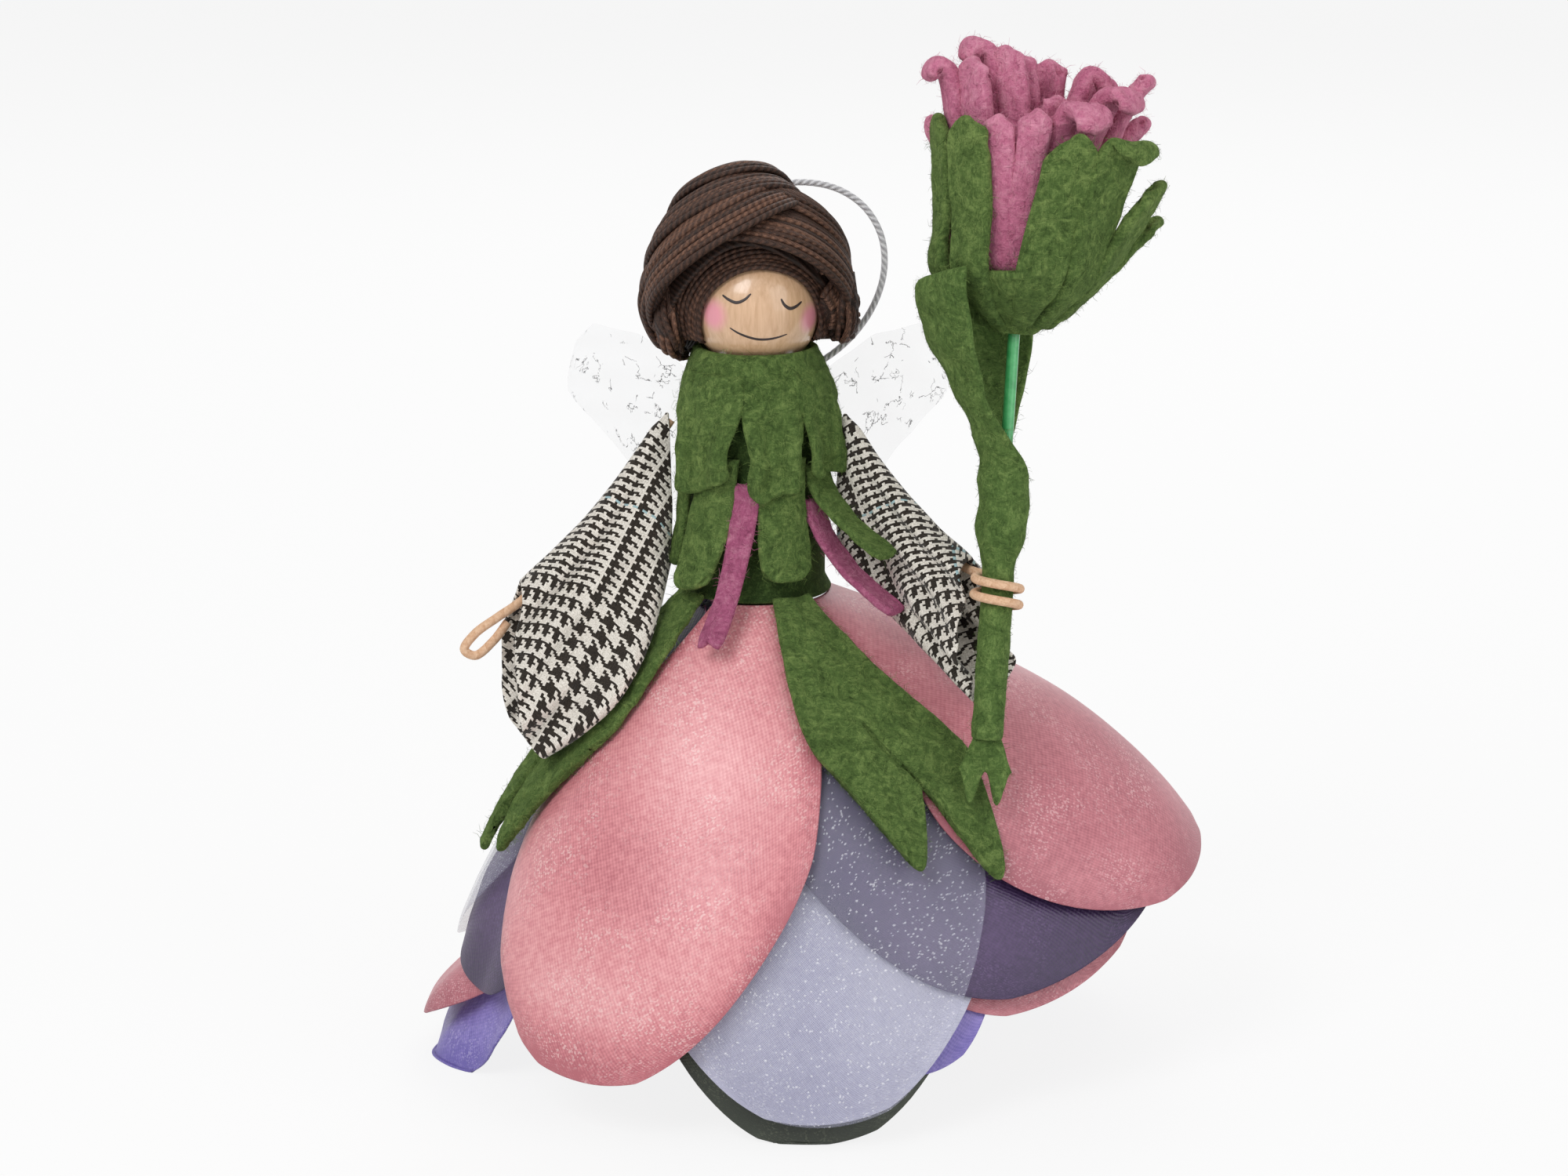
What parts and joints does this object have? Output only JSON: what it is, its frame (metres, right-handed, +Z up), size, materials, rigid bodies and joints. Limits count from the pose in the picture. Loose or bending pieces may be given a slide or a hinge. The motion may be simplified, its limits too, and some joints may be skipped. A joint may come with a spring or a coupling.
{
  "type": "fairy ornament",
  "caption": "Standing fairy figure with a petal skirt, checked bell sleeves and a bead head, holding a fringed felt flower; hangs by a loop.",
  "frame": {"origin": "centre of the bounding box in plan, on the surface that the petal hems stand on", "axes": "+Z up, -Y the way the fairy faces, +X towards the flower"},
  "size_m": [0.1138, 0.0956, 0.1576],
  "materials": {
    "check_cloth": "checked weave",
    "cord": "metallic braid",
    "core": "plain",
    "green_felt": "wool felt",
    "green_wire": "coated",
    "hair_floss": "stranded floss",
    "lilac_satin": "satin",
    "mauve_felt": "wool felt",
    "olive_satin": "satin",
    "organza": "sheer, glittering",
    "paper_wire": "paper-wrapped",
    "pink_felt": "wool felt",
    "pink_satin": "satin",
    "purple_satin": "satin",
    "rose_satin": "satin",
    "violet_satin": "satin",
    "wing_film": "clear, crinkled",
    "wood_bead": "lacquered"
  },
  "bodies": {
    "figure": {"rose_petal_left": "rose_satin", "rose_petal_right": "rose_satin", "rose_petal_back": "rose_satin", "organza_petal_front": "organza", "organza_petal_left": "organza", "organza_petal_back": "organza", "purple_petal_right": "purple_satin", "purple_petal_left": "purple_satin", "purple_petal_back": "purple_satin", "lilac_petal_front": "lilac_satin", "lilac_petal_right": "lilac_satin", "lilac_petal_left": "lilac_satin", "pink_petal_right": "pink_satin", "pink_petal_left": "pink_satin", "pink_petal_back": "pink_satin", "violet_petal_right": "violet_satin", "violet_petal_left": "violet_satin", "violet_petal_back": "violet_satin", "violet_petal_back_right": "violet_satin", "olive_petal_front": "olive_satin", "olive_petal_back": "olive_satin", "sepal_left": "green_felt", "sepal_right": "green_felt", "sepal_back": "green_felt", "bodice": "green_felt", "shoulder_wire": "paper_wire", "body_wire": "paper_wire", "waist_core": "core", "collar": "green_felt", "tail_centre": "green_felt", "tail_left": "green_felt", "tail_left_thin": "green_felt", "tail_right": "green_felt", "mauve_strip_left": "mauve_felt", "mauve_strip_right": "mauve_felt", "wing_left": "wing_film", "wing_right": "wing_film", "hanging_loop": "cord"},
    "head": {"head_bead": "wood_bead", "hair_cap": "hair_floss", "crown_braid": "hair_floss", "top_braid": "hair_floss", "braid_loop_left": "hair_floss", "braid_loop_right": "hair_floss"},
    "left_arm": {"left_arm_wire": "paper_wire", "left_sleeve": "check_cloth"},
    "right_arm": {"right_arm_wire": "paper_wire", "right_sleeve": "check_cloth"},
    "flower": {"stem_wire": "green_wire", "stem_felt": "green_felt", "stem_foot": "green_felt", "calyx": "green_felt", "blossom": "pink_felt"}
  },
  "joints": [
    {"name": "head_turn", "type": "hinge", "parent": "figure", "child": "head", "pos_m": [-0.01198, 0.00094, 0.1195], "axis": [0, 0, 1], "range_deg": [-30, 30]},
    {"name": "left_arm_raise", "type": "hinge", "parent": "figure", "child": "left_arm", "pos_m": [-0.02498, -0.00126, 0.102], "axis": [0, 1, 0], "range_deg": [0, 35]},
    {"name": "right_arm_raise", "type": "hinge", "parent": "figure", "child": "right_arm", "pos_m": [0.00102, -0.00126, 0.102], "axis": [0, -1, 0], "range_deg": [0, 25]},
    {"name": "flower_turn", "type": "hinge", "parent": "right_arm", "child": "flower", "pos_m": [0.02402, -0.02206, 0.08], "axis": [0.0636, 0.1957, 0.9786], "range_deg": [-25, 25]}
  ]
}
